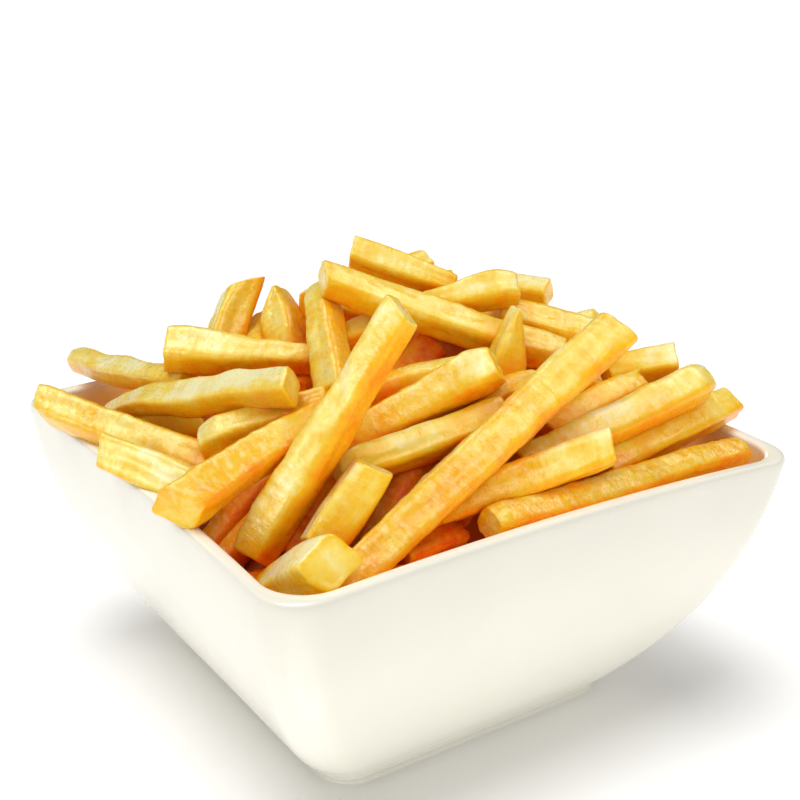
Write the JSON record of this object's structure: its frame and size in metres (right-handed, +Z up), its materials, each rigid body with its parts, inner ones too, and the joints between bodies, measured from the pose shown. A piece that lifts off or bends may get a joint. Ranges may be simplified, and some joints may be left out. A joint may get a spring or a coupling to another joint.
{
  "type": "french fries portion",
  "caption": "Golden french fries heaped above the rim of a flared square white bowl with soft corners and a low foot.",
  "frame": {"origin": "centre of the bowl's foot, on the surface the bowl stands on", "axes": "+Z up; the four sides of the bowl face +X, +Y, -X and -Y, and the shown corner points to -X -Y"},
  "size_m": [0.155, 0.155, 0.1232],
  "materials": {
    "glaze": "smooth glossy ivory-white glaze",
    "fried_potato": "golden fried potato with a thin, lightly oiled, blistered crust"
  },
  "bodies": {
    "root": {"bowl": "glaze", "fries_heap": "fried_potato"}
  },
  "joints": []
}
